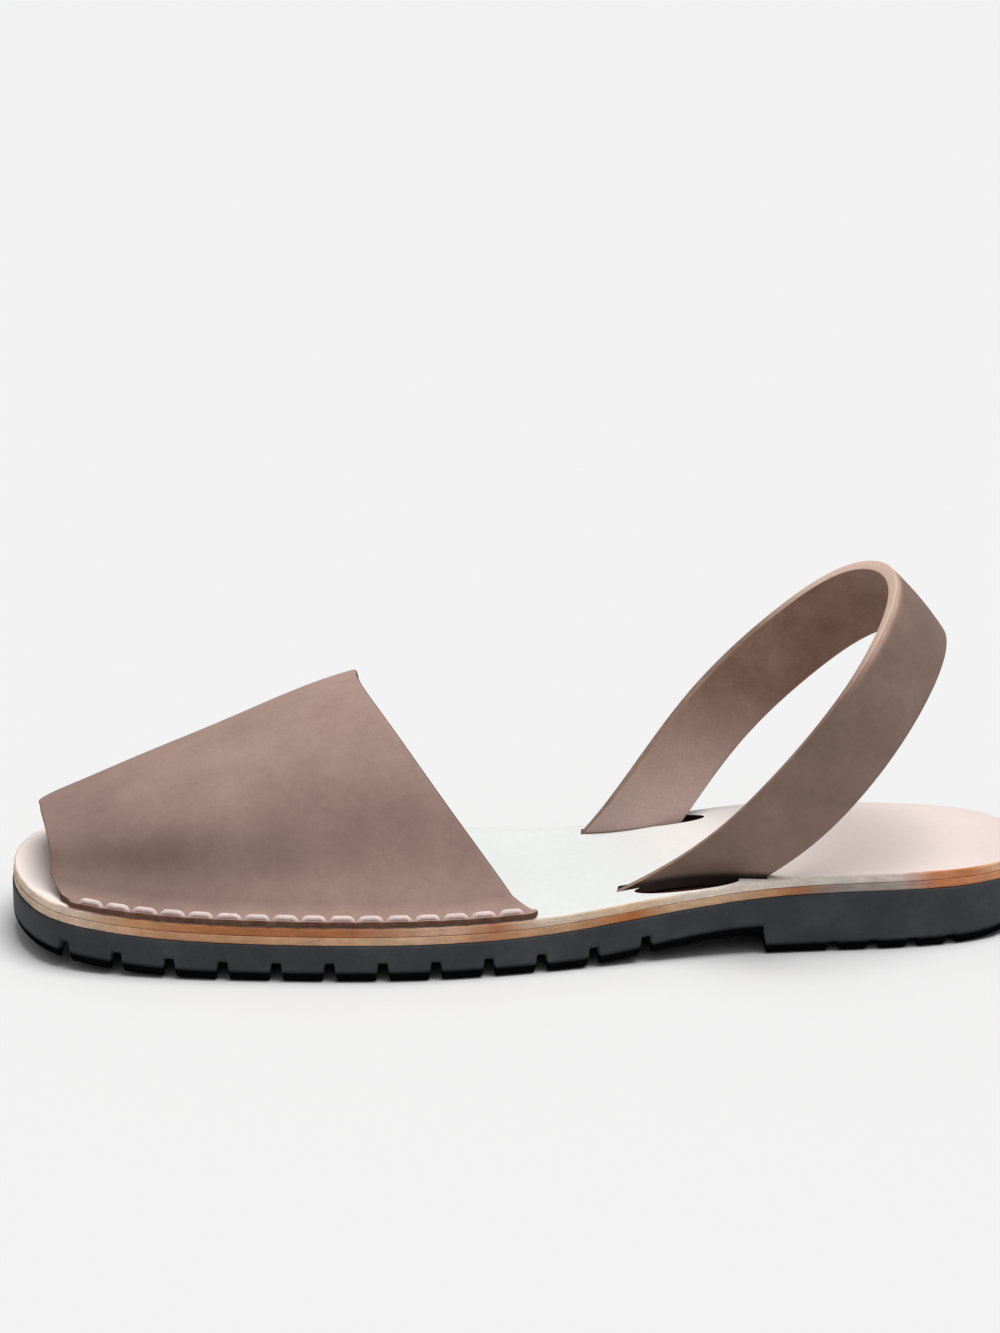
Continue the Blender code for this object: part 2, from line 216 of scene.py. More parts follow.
SLOTS = [
    SlotRow("lateral", 89.0, -28.2, 13.0, 4.2),
    SlotRow("medial", 93.0, 22.4, 13.0, 3.6),
]

# Shares of the way round the vamp from flange to flange, closer together at the flanges
VAMP_AROUND = [
    AroundRow(0.0, 0.06, 10),
    AroundRow(0.06, 0.10, 8),
    AroundRow(0.10, 0.90, 150),
    AroundRow(0.90, 0.94, 8),
    AroundRow(0.94, 1.0, 10),
]

# Tread grooves of the heel and of the forefoot, by distance from the heel
GROOVES = [
    GrooveRow(22.5, 10.0, 4, 1.8),
    GrooveRow(99.5, 13.0, 12, 4.4),
]

# Half of a tread groove's section, from its lip to its bed
GROOVE_SECTION = [
    SectionRow(1.25, 0.0),
    SectionRow(1.06, 0.04),
    SectionRow(0.93, 0.30),
    SectionRow(0.76, 0.86),
    SectionRow(0.55, 1.0),
]

# Rounded corners of the heel's breast, from its foot and from its top
BREAST_FOOT = [CornerRow(-0.5, 0.0), CornerRow(-0.1, 0.12), CornerRow(0.05, 0.5)]
BREAST_TOP = [CornerRow(-0.05, -0.5), CornerRow(0.1, -0.1), CornerRow(0.5, 0.0)]

# Painted shade and painted light on the vamp: darker low at the toe and on the wall, lighter high up, over
# the insole, with their reach each way
VAMP_PAINTED_SHADES = [
    PaintedShadeRow(230.0, 11.0, 27.0, 11.0, -0.34),
    PaintedShadeRow(192.0, 15.0, 22.0, 10.0, -0.10),
    PaintedShadeRow(176.0, 46.0, 24.0, 12.0, 0.10),
]

# Soft troughs of the vamp, from end to end, by height over the insole
CREASES = [
    CreaseRow("lateral", 240.0, 9.0, 210.0, 13.0, 6.0, 0.5),
    CreaseRow("medial", 238.0, 9.0, 208.0, 13.0, 6.0, 0.5),
]


def spline(knots, values, closed=False):
    """Cubic spline through the values, with even curvature; natural at the ends or closed."""
    knots = np.asarray(knots, float)
    values = np.asarray(values, float)
    gaps = np.diff(knots)
    rates = np.diff(values) / gaps
    last = len(knots) - 1
    size = last if closed else last + 1
    matrix = np.zeros((size, size))
    right = np.zeros(size)
    for row in range(size):
        if closed or 0 < row < last:
            before, after = gaps[row - 1], gaps[row]
            matrix[row, (row - 1) % size] += after
            matrix[row, row] += 2 * (before + after)
            matrix[row, (row + 1) % size] += before
            right[row] = 3 * (after * rates[row - 1] + before * rates[row])
        else:
            matrix[row, row] = 2
            matrix[row, 1 if row == 0 else last - 1] = 1
            right[row] = 3 * rates[min(row, last - 1)]
    slopes = np.linalg.solve(matrix, right)
    if closed:
        slopes = np.append(slopes, slopes[0])

    def at(spot):
        spot = np.asarray(spot, float)
        cell = np.clip(np.searchsorted(knots, spot, side="right") - 1, 0, last - 1)
        gap = gaps[cell]
        share = (spot - knots[cell]) / gap
        rest = 1 - share
        start = (1 + 2 * share) * rest ** 2 * values[cell] + share * rest ** 2 * gap * slopes[cell]
        end = (3 - 2 * share) * share ** 2 * values[cell + 1] - rest * share ** 2 * gap * slopes[cell + 1]
        return start + end

    return at


def chord_knots(points):
    """Spline knots spaced by the square root of the distance between the points."""
    steps = np.sqrt(np.linalg.norm(np.diff(points, axis=0), axis=1))
    return np.concatenate([[0.0], np.cumsum(steps)])


def sole_outline(count):
    """Closed outline of the sole as rows of along and across."""
    lateral = [(row.along, -row.lateral) for row in OUTLINE]
    medial = [(row.along, row.medial) for row in reversed(OUTLINE)]
    points = np.array([(0.0, 0.0)] + lateral + [(LENGTH, 0.0)] + medial + [(0.0, 0.0)])
    knots = chord_knots(points)
    spots = np.linspace(0.0, knots[-1], count, endpoint=False)
    return np.stack([spline(knots, points[:, axis], closed=True)(spots) for axis in (0, 1)], axis=1)


def side_edge(sign):
    """One side's stretch of the fine outline, sorted from heel to toe."""
    rows = FINE_EDGE[FINE_EDGE[:, 1] * sign >= 0]
    return rows[np.argsort(rows[:, 0])]


EDGE = sole_outline(OUTLINE_POINTS)
ALONG_MIDDLE, ACROSS_MIDDLE = (EDGE.min(axis=0) + EDGE.max(axis=0)) / 2
FINE_EDGE = sole_outline(FINE_OUTLINE_POINTS)
SIDE_EDGES = {"lateral": side_edge(-1), "medial": side_edge(1)}
rubber_top = spline([row.along for row in RUBBER_TOP], [row.height for row in RUBBER_TOP])


def place(points):
    """Rows of along, across and height in millimetres, as points of the frame in metres."""
    along, across, height = np.moveaxis(np.asarray(points, float), -1, 0)
    return np.stack([ALONG_MIDDLE - along, across - ACROSS_MIDDLE, height], axis=-1) * MM


def half_width(along, side):
    rows = SIDE_EDGES[side]
    return np.interp(along, rows[:, 0], np.abs(rows[:, 1]))


def midsole_top(along):
    return rubber_top(along) + JOINT_GAP + MIDSOLE_THICK


def insole_top(along):
    return midsole_top(along) + JOINT_GAP + INSOLE_THICK


def unit(vectors):
    return vectors / np.maximum(np.linalg.norm(vectors, axis=-1, keepdims=True), TINY)


def smooth(share):
    """A soft step from 0 to 1."""
    share = np.clip(share, 0, 1)
    return share * share * (3 - 2 * share)


def smooth_between(value, start, end):
    """A soft rise from 0 at the start to 1 at the end."""
    return smooth((value - start) / (end - start))


def mesh_piece(name, points, faces, slots, materials):
    """A smooth shaded mesh from points in millimetres, faces and the material slot of each face."""
    mesh = bpy.data.meshes.new(name)
    mesh.from_pydata(place(points).tolist(), [], faces)
    for material in materials:
        mesh.materials.append(material)
    mesh.polygons.foreach_set("material_index", np.asarray(slots, np.int32))
    shape = bmesh.new()
    shape.from_mesh(mesh)
    bmesh.ops.remove_doubles(shape, verts=shape.verts, dist=WELD_DISTANCE * MM)
    bmesh.ops.recalc_face_normals(shape, faces=shape.faces)
    shape.to_mesh(mesh)
    shape.free()
    piece = bpy.data.objects.new(name, mesh)
    bpy.context.scene.collection.objects.link(piece)
    shade(piece)
    return piece


def shade(piece):
    piece.data.shade_smooth()
    piece.data.set_sharp_from_angle(angle=math.radians(SHARP_ANGLE))


def settle(piece, node):
    """Lets a piece ride on the sandal in place of its solid."""
    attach(piece, "root")
    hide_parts(node)


# Sole layers


def ground(along):
    """Height of the outsole's underside, between its grooves."""
    if along < HEEL_LIFT_END:
        return HEEL_LIFT * (1 - along / HEEL_LIFT_END) ** 2
    if HEEL_BREAST <= along < ARCH_END:
        share = (along - HEEL_BREAST) / (ARCH_END - HEEL_BREAST)
        return ARCH_HEIGHT * (1 + math.cos(math.pi * share)) / 2
    if along > SPRING_START:
        return TOE_SPRING * ((along - SPRING_START) / (LENGTH - SPRING_START)) ** 2
    return 0.0


def even_stops():
    """Distances from the heel for the rows of a layer, close together at both tips."""
    return LENGTH / 2 * (1 - np.cos(np.linspace(0, math.pi, SOLE_ROWS + 1)))


def tread_profile():
    """Rows of along and height of the underside, with rounded grooves and the breast of the heel."""
    grooves = [(row.first + step * row.pitch, row.depth) for row in GROOVES for step in range(row.count)]
    cuts = []
    for groove, depth in grooves:
        for row in GROOVE_SECTION:
            for sign in (-1, 1):
                along = groove + sign * row.width_share * GROOVE_HALF
                cuts.append((along, ground(along) + row.depth_share * depth))
    foot = HEEL_BREAST - BREAST_LEAN
    breast = ground(HEEL_BREAST)
    cuts += [(foot + row.along, row.height) for row in BREAST_FOOT]
    cuts += [(HEEL_BREAST + row.along, breast + row.height) for row in BREAST_TOP]
    cuts = sorted(cuts)
    groove_reach = GROOVE_SECTION[0].width_share * GROOVE_HALF
    spans = [(groove, groove_reach) for groove, depth in grooves]
    spans.append((HEEL_BREAST - BREAST_LEAN / 2, BREAST_REACH))
    plain = []
    for along in even_stops():
        if all(abs(along - middle) > reach + STOP_CLEAR for middle, reach in spans):
            plain.append((along, ground(along)))
    return sorted(cuts + plain)


def rounded_wall(lower_radius, upper_radius):
    """Rows of inset, height share and lift up a layer's wall, with both edges rounded."""
    turns = [(math.sin(turn), math.cos(turn)) for turn in np.linspace(0, math.pi / 2, EDGE_CELLS + 1)]
    lower = [(lower_radius * (1 - sine), 0.0, lower_radius * (1 - cosine)) for sine, cosine in turns]
    middle = []
    for step in range(1, SOLE_WALL_CELLS):
        share = step / SOLE_WALL_CELLS
        middle.append((0.0, share, lower_radius * (1 - share) - upper_radius * share))
    upper = [(upper_radius * (1 - cosine), 1.0, -upper_radius * (1 - sine)) for sine, cosine in turns]
    return lower + middle + upper


def slab(name, stops, inset, lower, upper, wall, relief, materials):
    """A layer of the sole from its rows' lower and upper heights: faces in slot 0, walls in slot 1."""
    last = len(stops) - 1
    around = 2 * last
    lateral = [(stop, -half_width(stop, "lateral")) for stop in stops]
    medial = [(stop, half_width(stop, "medial")) for stop in stops[-2:0:-1]]
    edge = np.array(lateral + medial)
    tangent = unit(np.roll(edge, -1, axis=0) - np.roll(edge, 1, axis=0))
    inward = np.stack([-tangent[:, 1], tangent[:, 0]], axis=1)
    row_of = np.array([min(index, around - index) for index in range(around)])
    low = np.asarray(lower)[row_of]
    high = np.asarray(upper)[row_of]
    points = []
    for ring_inset, share, lift in wall:
        height = low + share * (high - low) + lift
        depth = np.full(around, inset + ring_inset)
        if relief:
            for index in range(around):
                spot = Vector((*edge[index], FIBRE_FLATNESS * height[index])) / FIBRE_SIZE
                depth[index] += relief * noise.noise(spot)
        ring = edge + depth[:, None] * inward
        points += np.column_stack([ring, height]).tolist()
    faces = []
    slots = []
    for ring in range(len(wall) - 1):
        for index in range(around):
            after = (index + 1) % around
            corner = ring * around
            faces.append((corner + index, corner + after, corner + around + after, corner + around + index))
            slots.append(1)
    for ring in (0, len(wall) - 1):
        corner = ring * around
        rows = [[corner] * (SOLE_CELLS_ACROSS + 1)]
        for row in range(1, last):
            start = np.array(points[corner + row])
            end = np.array(points[corner + around - row])
            line = [corner + row]
            for step in range(1, SOLE_CELLS_ACROSS):
                line.append(len(points))
                points.append((start + (end - start) * step / SOLE_CELLS_ACROSS).tolist())
            line.append(corner + around - row)
            rows.append(line)
        rows.append([corner + last] * (SOLE_CELLS_ACROSS + 1))
        for before, after in zip(rows, rows[1:]):
            for step in range(SOLE_CELLS_ACROSS):
                loop = (before[step], before[step + 1], after[step + 1], after[step])
                faces.append(tuple(dict.fromkeys(loop)))
                slots.append(0)
    return mesh_piece(name, points, faces, slots, materials)


def make_outsole():
    profile = tread_profile()
    stops = [along for along, height in profile]
    lower = [height for along, height in profile]
    upper = rubber_top(stops)
    wall = rounded_wall(RUBBER_FOOT_ROUNDING, RUBBER_TOP_ROUNDING)
    rubber = rubber_material()
    piece = slab("outsole_rubber", stops, 0.0, lower, upper, wall, 0.0, [rubber, rubber])
    # Height over the ground, which sets the painted shade at the rubber's foot
    rise = piece.data.attributes.new("rise", "FLOAT", "POINT")
    for vert in piece.data.vertices:
        along = ALONG_MIDDLE - vert.co.x / MM
        rise.data[vert.index].value = vert.co.z / MM - ground(along)
    settle(piece, "outsole")


def make_midsole():
    stops = even_stops()
    wall = rounded_wall(LEATHER_EDGE_ROUNDING, LEATHER_JOINT_ROUNDING)
    raw = raw_leather_material("midsole_edge", MIDSOLE_EDGE_COLOURS)
    lower = rubber_top(stops) + SHOWN_JOINT_GAP
    upper = midsole_top(stops)
    # The midsole's faces show through the slots and take their painted shade
    dark = cut_edge_material("midsole_face", SLOT_SHADE_COLOURS)
    piece = slab("midsole_leather", stops, MIDSOLE_INSET, lower, upper, wall, FIBRE_RELIEF, [dark, raw])
    settle(piece, "midsole")


def strap_slot_cutter():
    """A block that follows the strap with a little play, to cut its slots."""
    lengths = np.linspace(0, 1, STRAP_CELLS_ALONG + 1)
    widths = np.linspace(0, 1, SLOT_CELLS_ACROSS + 1)
    middle = strap_point(lengths[:, None] + 0 * widths, widths + 0 * lengths[:, None], SLOT_GAP)
    half = STRAP_THICK / 2 + SLOT_GAP
    return shell("strap_slot", middle, half, half, 0.0, [])


def slot_mouth_cutter(row):
    """An upright oval block for the gaping mouth of a slot."""
    shape = bmesh.new()
    bmesh.ops.create_cone(shape, cap_ends=True, segments=SLOT_CORNERS, radius1=1.0, radius2=1.0, depth=1.0)
    mesh = bpy.data.meshes.new("slot_mouth")
    for vert in shape.verts:
        along = row.along + row.half_length * vert.co.x
        across = row.across + row.half_width * vert.co.y
        vert.co = place((along, across, SLOT_CUT_DEPTH * vert.co.z))
    bmesh.ops.recalc_face_normals(shape, faces=shape.faces)
    shape.to_mesh(mesh)
    shape.free()
    cutter = bpy.data.objects.new("slot_mouth", mesh)
    bpy.context.scene.collection.objects.link(cutter)
    return cutter


def cut_out(piece, cutters):
    """Cuts blocks out of a piece, whose cut faces take its last material, and removes the blocks."""
    for cutter in cutters:
        cutter.data.materials.clear()
        for material in piece.data.materials:
            cutter.data.materials.append(material)
        last = len(piece.data.materials) - 1
        cutter.data.polygons.foreach_set("material_index", np.full(len(cutter.data.polygons), last, np.int32))
        step = piece.modifiers.new("Cut", "BOOLEAN")
        step.operation = "DIFFERENCE"
        step.solver = "EXACT"
        step.object = cutter
    bpy.context.view_layer.update()
    view = bpy.context.evaluated_depsgraph_get()
    mesh = bpy.data.meshes.new_from_object(piece.evaluated_get(view))
    piece.modifiers.clear()
    piece.data = mesh
    for cutter in cutters:
        bpy.data.objects.remove(cutter)
    shade(piece)


def make_insole():
    stops = even_stops()
    wall = rounded_wall(LEATHER_JOINT_ROUNDING, LEATHER_EDGE_ROUNDING)
    smooth_side = insole_material()
    raw = raw_leather_material("insole_edge", INSOLE_EDGE_COLOURS)
    # The slots' cut faces take painted shade
    dark = cut_edge_material("slot_cut", SLOT_SHADE_COLOURS)
    lower = midsole_top(stops) + SHOWN_JOINT_GAP
    upper = insole_top(stops)
    materials = [smooth_side, raw, dark]
    piece = slab("insole_leather", stops, INSOLE_INSET, lower, upper, wall, FIBRE_RELIEF, materials)
    cut_out(piece, [slot_mouth_cutter(row) for row in SLOTS] + [strap_slot_cutter()])
    settle(piece, "insole")


# Vamp and strap


def shell(name, middle, over, under, bulge, materials):
    """A closed leather shell from a grid of points: outer side in slot 0, inner in 1, cut edge in 2."""
    rows, columns = middle.shape[:2]
    normal = unit(np.cross(np.gradient(middle, axis=0), np.gradient(middle, axis=1)))
    over = np.broadcast_to(np.asarray(over, float), (rows, columns))[..., None]
    under = np.broadcast_to(np.asarray(under, float), (rows, columns))[..., None]
    outer = middle + normal * over
    inner = middle - normal * under
    points = outer.reshape(-1, 3).tolist() + inner.reshape(-1, 3).tolist()
    faces = []
    slots = []
    for layer in (0, 1):
        corner = layer * rows * columns
        for row in range(rows - 1):
            for column in range(columns - 1):
                first = corner + row * columns + column
                faces.append((first, first + 1, first + columns + 1, first + columns))
                slots.append(layer)
    border = [(0, column) for column in range(columns)]
    border += [(row, columns - 1) for row in range(1, rows)]
    border += [(rows - 1, column) for column in range(columns - 2, -1, -1)]
    border += [(row, 0) for row in range(rows - 2, 0, -1)]
    rings = [[row * columns + column for row, column in border]]
    for step in range(1, RIM_CELLS):
        turn = math.pi * step / RIM_CELLS
        flat = math.copysign(abs(math.cos(turn)) ** RIM_ROUNDNESS, math.cos(turn))
        ring = []
        for row, column in border:
            back = (min(max(row, 1), rows - 2), min(max(column, 1), columns - 2))
            out = unit(middle[row, column] - middle[back])
            centre = (outer[row, column] + inner[row, column]) / 2
            arm = (outer[row, column] - inner[row, column]) / 2
            ring.append(len(points))
            points.append((centre + arm * flat + out * bulge * math.sin(turn) ** RIM_ROUNDNESS).tolist())
        rings.append(ring)
    rings.append([rows * columns + index for index in rings[0]])
    for before, after in zip(rings, rings[1:]):
        for index in range(len(border)):
            follow = (index + 1) % len(border)
            faces.append((before[index], before[follow], after[follow], after[index]))
            slots.append(2)
    return mesh_piece(name, points, faces, slots, materials)


VAMP_ALONG = [row.along for row in VAMP]
vamp_height = spline(VAMP_ALONG, [row.height for row in VAMP])
vamp_crest = spline(VAMP_ALONG, [row.crest for row in VAMP])
vamp_fullness = spline(VAMP_ALONG, [row.fullness for row in VAMP])
vamp_flare = spline(VAMP_ALONG, [row.flare for row in VAMP])


def by_side(lateral, sizes):
    return np.where(lateral, sizes["lateral"], sizes["medial"])


def vamp_point(length_share, around_share):
    """Outer surface of the vamp: from the toe edge to the rear edge, and from flange to flange."""
    turn = 2 * np.asarray(around_share, float) - 1
    lateral = turn < 0
    sign = np.where(lateral, -1, 1)
    reach = np.abs(turn)
    angle = math.pi / 2 * (1 - np.minimum(reach / WALL_SHARE, 1))
    rise = np.sin(angle)
    spread = np.cos(angle)
    curl = np.clip((reach - WALL_SHARE) / (FILLET_SHARE - WALL_SHARE), 0, 1)
    bend = FLANGE_LEAN + (math.pi / 2 - FLANGE_LEAN) * curl
    out = np.clip((reach - FILLET_SHARE) / (1 - FILLET_SHARE), 0, 1)
    turned = np.clip((reach - WALL_SHARE) / (1 - WALL_SHARE), 0, 1)
    sweep = np.hypot(spread, CREST_ROUNDING) - CREST_ROUNDING
    drop = (1 - rise) ** by_side(lateral, REAR_CURVE)
    rear = CREST_REAR - by_side(lateral, REAR_DROP) * drop - by_side(lateral, REAR_SWEEP) * sweep
    rear += by_side(lateral, REAR_HOLLOW) * HOLLOW_PEAK * rise * (1 - rise) ** 2
    rear -= REAR_TAIL * np.sin(TAIL_ROUNDING * turned)
    front_sweep = np.hypot(sign * spread - FRONT_TIP_SPREAD, FRONT_ROUNDING) - FRONT_ROUNDING
    front = FRONT_TIP - FRONT_SWEEP * front_sweep
    front -= FRONT_TAIL * np.sin(math.pi / 2 * turned)
    along = front + length_share * (rear - front)
    width = np.where(lateral, half_width(along, "lateral"), half_width(along, "medial"))
    foot = width - FLANGE_MARGIN - FLANGE_WIDTH
    power = 2 / vamp_fullness(along)
    crest = sign * vamp_crest(along)
    wall_foot = VAMP_WALL + JOINT_GAP + FLANGE_FILLET * (1 - math.sin(FLANGE_LEAN))
    fillet_width = FLANGE_FILLET * math.cos(FLANGE_LEAN)
    across = crest + (foot - crest) * spread ** power
    across -= vamp_flare(along) * FLARE_PEAK * rise * (1 - rise) ** 3
    across += fillet_width - FLANGE_FILLET * np.cos(bend) + (FLANGE_WIDTH - fillet_width) * out
    height = wall_foot + (vamp_height(along) - wall_foot) * rise ** power
    height -= FLANGE_FILLET * (np.sin(bend) - math.sin(FLANGE_LEAN))
    height -= FLANGE_PRESS * smooth(curl / 2) + FLANGE_PRESS / 2 * smooth(out)
    return np.stack([along, sign * across, insole_top(along) + height], axis=-1)


def stitch_line(side):
    """Needle holes along one flange, from the toe to the rear, with the flange's surface between them."""
    reach = FILLET_SHARE + (1 - FILLET_SHARE) * STITCH_OUT
    around = (1 - reach) / 2 if side == "lateral" else (1 + reach) / 2
    shares = np.linspace(0, 1, STITCH_TRIALS)
    line = vamp_point(shares, np.full_like(shares, around))
    travel = np.concatenate([[0.0], np.cumsum(np.linalg.norm(np.diff(line, axis=0), axis=1))])
    count = int((travel[-1] - 2 * STITCH_MARGIN) / STITCH_PITCH)
    start = (travel[-1] - count * STITCH_PITCH) / 2

    def at(distance):
        return np.stack([np.interp(distance, travel, line[:, axis]) for axis in range(3)], axis=-1)

    return at, start + STITCH_PITCH * np.arange(count + 1)


def crease_depth(points):
    """How far the soft troughs sink the vamp's surface at each point."""
    along = points[..., 0]
    height = points[..., 2] - insole_top(along)
    depth = np.zeros_like(along)
    for row in CREASES:
        step = np.array([row.end_along - row.along, row.end_height - row.height])
        share = ((along - row.along) * step[0] + (height - row.height) * step[1]) / (step @ step)
        held = np.clip(share, 0, 1)
        away = np.hypot(along - row.along - held * step[0], height - row.height - held * step[1])
        here = points[..., 1] < 0 if row.side == "lateral" else points[..., 1] >= 0
        depth += here * row.depth * np.exp(-(away / row.width) ** 2)
    return depth


def painted_vamp_shading(along, height):
    """The factor of painted light and shade on the vamp at a place, beside its plain colour."""
    tone = np.ones_like(along)
    for row in VAMP_PAINTED_SHADES:
        away = np.hypot((along - row.along) / row.along_reach, (height - row.height) / row.height_reach)
        tone += row.tone * np.exp(-away ** 2)
    return tone


def needle_depth(points):
    """How far the thread pulls the flange down round its needle holes."""
    depth = np.zeros(points.shape[:-1])
    for side in ("lateral", "medial"):
        at, holes = stitch_line(side)
        for hole in at(holes):
            away = np.hypot(points[..., 0] - hole[0], points[..., 1] - hole[1])
            depth += NEEDLE_DENT * np.exp(-(away / NEEDLE_REACH) ** 2)
    return depth


def make_vamp():
    around = [np.linspace(row.start, row.end, row.cells, endpoint=False) for row in VAMP_AROUND]
    around = np.concatenate(around + [[1.0]])
    lengths = np.linspace(0, 1, VAMP_CELLS_ALONG + 1)
    length_grid, around_grid = np.meshgrid(lengths, around)
    outer = vamp_point(length_grid, around_grid)
    normal = unit(np.cross(np.gradient(outer, axis=0), np.gradient(outer, axis=1)))
    outer = outer - normal * crease_depth(outer)[..., None]
    dents = needle_depth(outer)
    outer[..., 2] -= dents
    reach = np.abs(2 * around_grid - 1)
    pressed = smooth_between(reach, WALL_SHARE, 1)
    wall = VAMP_WALL - FLANGE_THINNING * FLANGE_PRESS * pressed - dents
    materials = [
        nubuck_material("vamp_outside", NUBUCK_COLOURS),
        suede_material("vamp_inside"),
        cut_edge_material("vamp_cut_edge", VAMP_CUT_COLOURS),
    ]
    piece = shell("vamp_nubuck", outer, 0.0, wall, CUT_EDGE_BULGE, materials)
    points = np.array([vert.co for vert in piece.data.vertices]) / MM
    along = ALONG_MIDDLE - points[:, 0]
    # Painted light and shade of the vamp, by place along the sole and height over the insole
    tone = piece.data.attributes.new("tone", "FLOAT", "POINT")
    tone.data.foreach_set("value", painted_vamp_shading(along, points[:, 2] - insole_top(along)))
    settle(piece, "vamp")


STRAP_POINTS = np.array(STRAP)
STRAP_KNOTS = chord_knots(STRAP_POINTS[:, :3])
strap_line = [spline(STRAP_KNOTS, STRAP_POINTS[:, column]) for column in range(len(StrapRow._fields))]


def strap_point(length_share, width_share, margin=0.0):
    """Middle surface of the strap: from the lateral to the medial end, and from front to back edge."""
    knot = length_share * STRAP_KNOTS[-1]
    along, across, height, tilt, flare, crown = [column(knot) for column in strap_line]
    ahead = [column(knot + STRAP_STEP) - column(knot - STRAP_STEP) for column in strap_line[:3]]
    tilt = np.radians(tilt)
    backward = np.stack([-np.sin(tilt), np.zeros_like(tilt), -np.cos(tilt)], axis=-1)
    outward = unit(np.cross(np.stack(ahead, axis=-1), backward))
    front = STRAP_FRONT + flare + margin
    back = STRAP_BACK + margin
    shift = -front + width_share * (front + back)
    bulge = crown * (1 - (2 * width_share - 1) ** 2)
    centre = np.stack([along, across, height], axis=-1)
    return centre + shift[..., None] * backward + bulge[..., None] * outward


def strap_ends(width_share):
    """The length shares between which the strap stands over the midsole."""
    trials = np.linspace(0, 1, STRAP_TRIALS)
    line = strap_point(trials, np.full_like(trials, width_share))
    clear = line[:, 2] > midsole_top(line[:, 0]) + STRAP_FOOT_CLEAR
    middle = STRAP_TRIALS // 2
    start = middle - np.argmin(clear[middle::-1]) + 1
    end = middle + np.argmin(clear[middle:]) - 1
    return trials[start], trials[end]


def make_heel_strap():
    widths = np.linspace(0, 1, STRAP_CELLS_ACROSS + 1)
    ends = np.array([strap_ends(width) for width in widths])
    shares = np.linspace(0, 1, STRAP_CELLS_ALONG + 1)[:, None]
    lengths = ends[:, 0] + shares * (ends[:, 1] - ends[:, 0])
    middle = strap_point(lengths, np.broadcast_to(widths, lengths.shape))
    materials = [
        nubuck_material("strap_outside", STRAP_COLOURS),
        suede_material("strap_inside"),
        cut_edge_material("strap_cut_edge", STRAP_CUT_COLOURS, STRAP_TURN_COLOUR),
    ]
    half = STRAP_THICK / 2
    piece = shell("heel_strap_nubuck", middle, half, half, CUT_EDGE_BULGE, materials)
    points = np.array([vert.co for vert in piece.data.vertices]) / MM
    height = points[:, 2]
    # Painted light low down and painted shade high up at the turn
    tone = 1 + STRAP_LOW_PAINTED_LIGHT - (STRAP_LOW_PAINTED_LIGHT - STRAP_HIGH_PAINTED_SHADE) * smooth_between(height, *STRAP_LIGHT_AND_SHADE_FADE)
    # Painted shade where the strap sinks into its slots
    rise = height - insole_top(ALONG_MIDDLE - points[:, 0])
    tone *= STRAP_SLOT_SHADE + (1 - STRAP_SLOT_SHADE) * smooth_between(rise, *STRAP_SLOT_SHADE_RISE)
    # A painted highlight along the outside's front edge, high up at the turn
    front = np.ones(len(points))
    outside = len(middle) * len(widths)
    front[:outside] = np.tile(widths, len(middle))
    edge_highlight = smooth_between(-front, *STRAP_EDGE_HIGHLIGHT_BAND) * smooth_between(height, *STRAP_TURN)
    tone += STRAP_EDGE_HIGHLIGHT * edge_highlight
    shown = piece.data.attributes.new("tone", "FLOAT", "POINT")
    shown.data.foreach_set("value", tone)
    settle(piece, "heel_strap")


# Thread


def make_stitches(side, material):
    """The sewn thread of one flange: each stitch arches out of one needle hole and into the next."""
    at, holes = stitch_line(side)
    shares = np.linspace(0, 1, STITCH_CELLS + 1)
    turns = np.linspace(0, 2 * math.pi, THREAD_CORNERS, endpoint=False)
    points = []
    faces = []
    for stitch, (start, end) in enumerate(zip(holes, holes[1:])):
        rest = (end - start - STITCH_LENGTH) / 2
        line = at(start + rest + shares * STITCH_LENGTH)
        line[:, 2] += THREAD_LIFT - (THREAD_LIFT + THREAD_DIVE) * np.abs(2 * shares - 1) ** THREAD_FLATNESS
        tangent = unit(np.gradient(line, axis=0))
        aside = unit(np.cross(tangent, (0.0, 0.0, 1.0)))
        upward = np.cross(aside, tangent)
        first = len(points)
        for step in range(STITCH_CELLS + 1):
            twist = THREAD_TWIST * shares[step] * 2 * math.pi + stitch
            radius = THREAD_RADIUS * (1 + PLY_RELIEF * np.cos(THREAD_PLIES * (turns - twist)))
            ring = line[step] + radius[:, None] * (
                np.cos(turns)[:, None] * aside[step] + np.sin(turns)[:, None] * upward[step])
            points += ring.tolist()
        for step in range(STITCH_CELLS):
            base = first + step * THREAD_CORNERS
            above = base + THREAD_CORNERS
            for corner in range(THREAD_CORNERS):
                after = (corner + 1) % THREAD_CORNERS
                faces.append((base + corner, base + after, above + after, above + corner))
        last = first + STITCH_CELLS * THREAD_CORNERS
        faces.append(tuple(first + corner for corner in range(THREAD_CORNERS)))
        faces.append(tuple(last + corner for corner in range(THREAD_CORNERS)))
    piece = mesh_piece("stitches_" + side, points, faces, np.zeros(len(faces)), [material])
    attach(piece, "root")


# Materials


def tint(red, green, blue):
    """A colour from its values of 0 to 255 on the sRGB curve."""
    def linear(value):
        share = value / 255
        return share / 12.92 if share <= 0.04045 else ((share + 0.055) / 1.055) ** 2.4
    return (linear(red), linear(green), linear(blue), 1.0)


# Colours of the materials' cloudy patches, from dark to light, and single colours
NUBUCK_COLOURS = [(0.30, tint(155, 128, 119)), (0.52, tint(163, 136, 126)), (0.74, tint(171, 143, 133))]
STRAP_COLOURS = [(0.30, tint(130, 107, 96)), (0.52, tint(140, 116, 105)), (0.74, tint(150, 126, 115))]
SUEDE_COLOURS = [(0.25, tint(126, 96, 80)), (0.55, tint(142, 112, 96)), (0.80, tint(158, 130, 115))]
